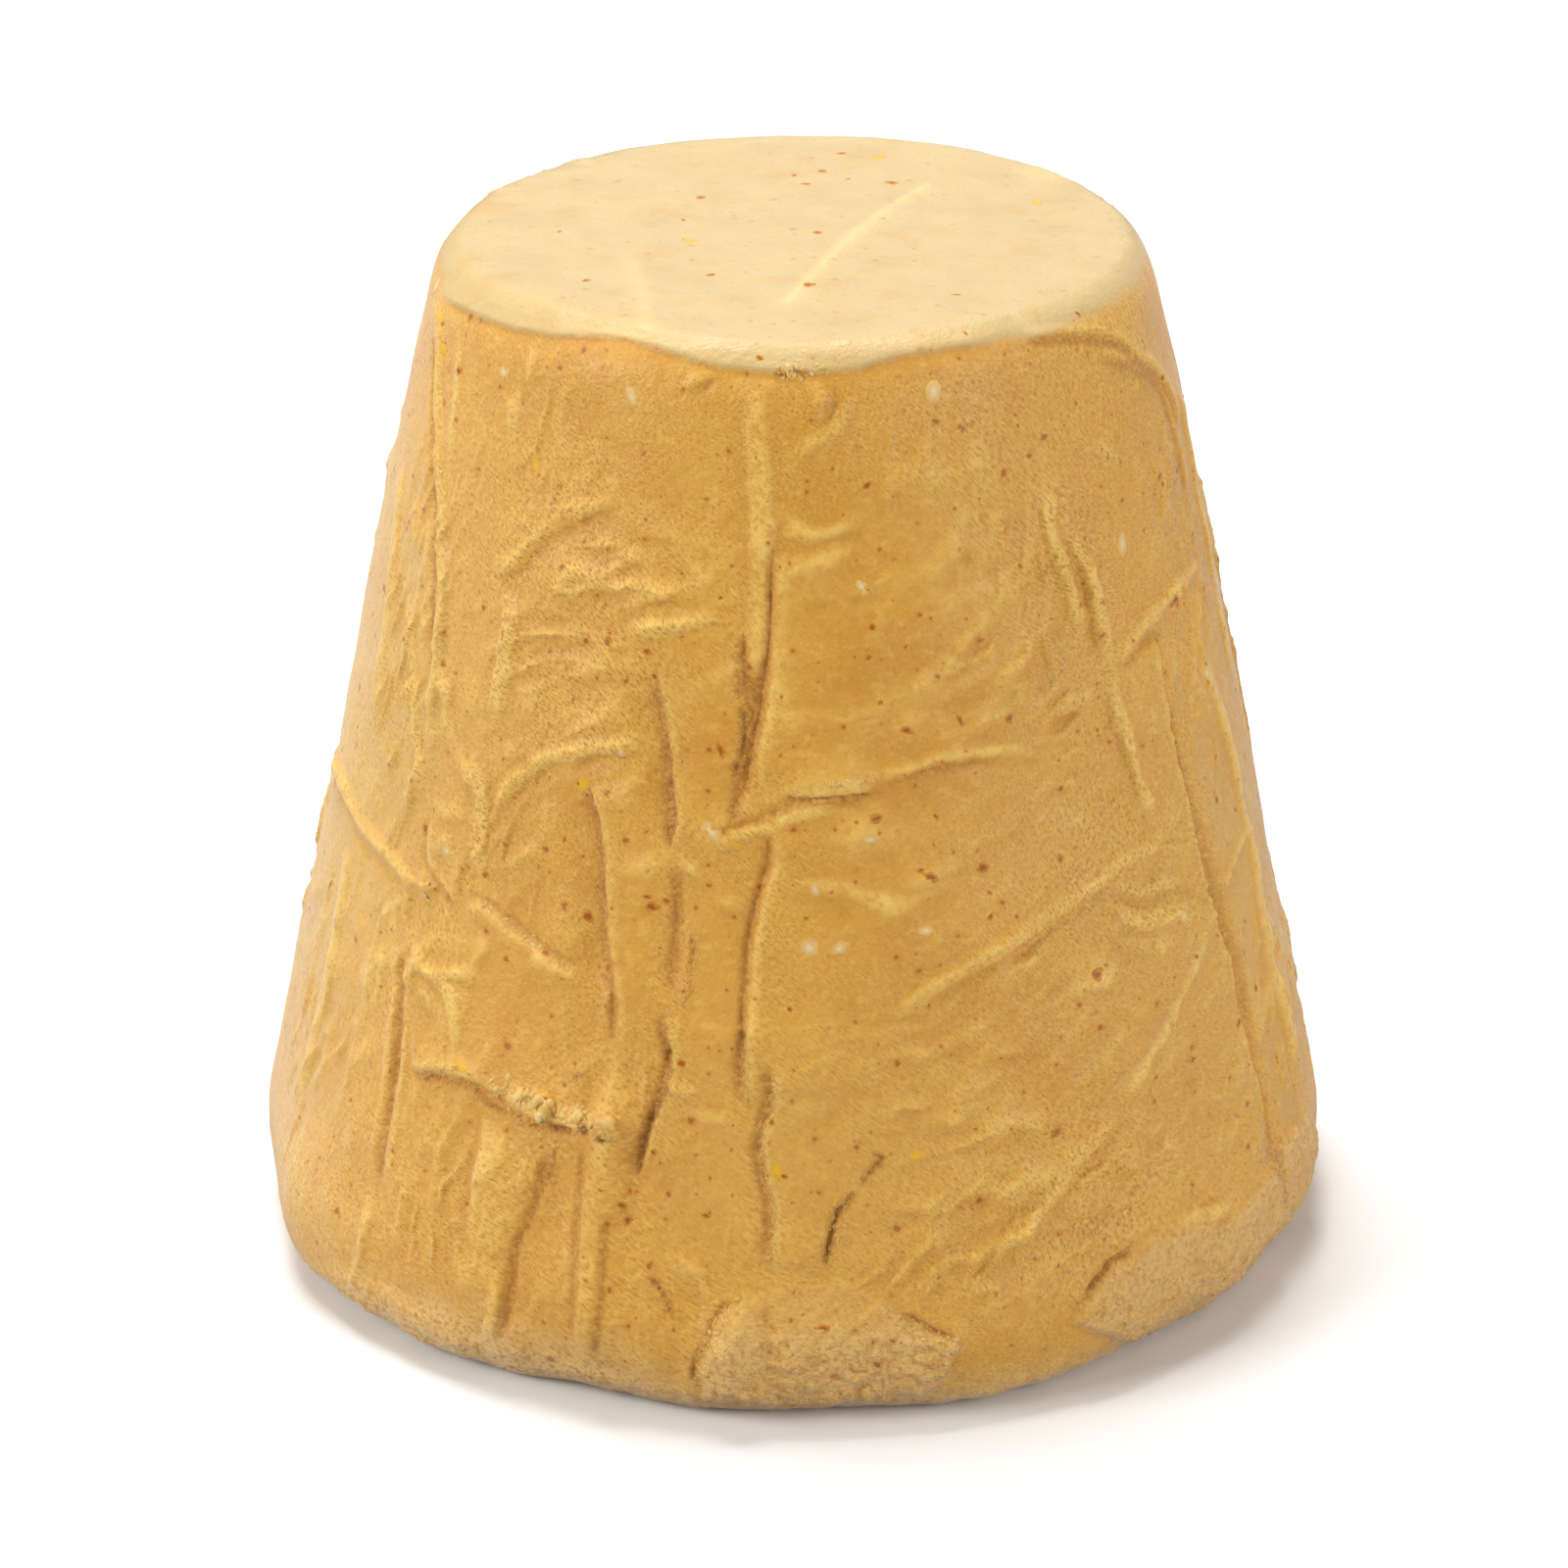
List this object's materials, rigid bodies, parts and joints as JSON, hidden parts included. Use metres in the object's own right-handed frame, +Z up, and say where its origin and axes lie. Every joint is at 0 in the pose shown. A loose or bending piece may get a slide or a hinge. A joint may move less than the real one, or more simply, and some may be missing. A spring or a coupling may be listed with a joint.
{
  "type": "afuegal pitu cheese",
  "caption": "Whole uncut cheese in the shape of a truncated cone, with the folds of its draining cloth pressed into its side and a flat foot to stand on.",
  "frame": {"origin": "middle of the flat foot, on the surface that the cheese stands on", "axes": "+Z up along the cone's axis, from the wide foot to the narrow top; -Y towards the side with the seam of the cloth, which faces the camera"},
  "size_m": [0.0944, 0.0958, 0.0895],
  "materials": {
    "rind": "moist, satin curd coloured with paprika, with the print of its cloth"
  },
  "bodies": {
    "root": {"cheese": "rind"}
  },
  "joints": []
}
